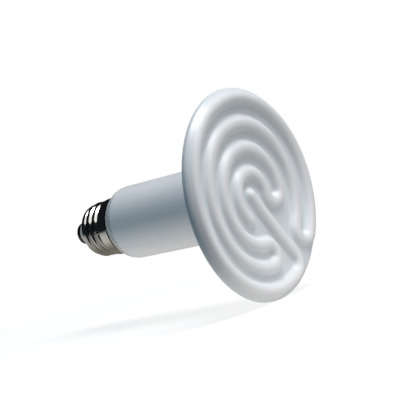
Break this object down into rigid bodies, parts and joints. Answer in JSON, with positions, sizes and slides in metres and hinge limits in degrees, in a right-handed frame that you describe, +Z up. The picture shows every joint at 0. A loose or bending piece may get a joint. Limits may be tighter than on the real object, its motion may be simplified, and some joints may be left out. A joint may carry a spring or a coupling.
{
  "type": "ceramic heat emitter",
  "caption": "Glazed porcelain heat emitter: a round disc with a raised serpentine rib on its face, a hollow round neck behind it and a nickel-plated screw base.",
  "frame": {"origin": "tip of the base's centre contact, on the screw axis", "axes": "+X along the screw axis from the base's tip to the ribbed face; seen from the face, +Y is to the right and +Z is up"},
  "size_m": [0.107, 0.0938, 0.0938],
  "materials": {
    "porcelain": "glazed, off-white",
    "resistance_wire": "dull",
    "lead_wire": "drawn",
    "nickel_plate": "bright nickel plate",
    "solder": "satin",
    "cement": "matt, fired",
    "insulator": "matt",
    "contact_metal": "dull plate"
  },
  "bodies": {
    "root": {"ceramic_body": "porcelain", "heating_coil": "resistance_wire", "contact_lead": "lead_wire", "shell_lead": "lead_wire", "screw_shell": "nickel_plate", "shell_solder": "solder", "base_cement": "cement", "base_insulator": "insulator", "centre_contact": "contact_metal", "contact_solder": "solder"}
  },
  "joints": []
}
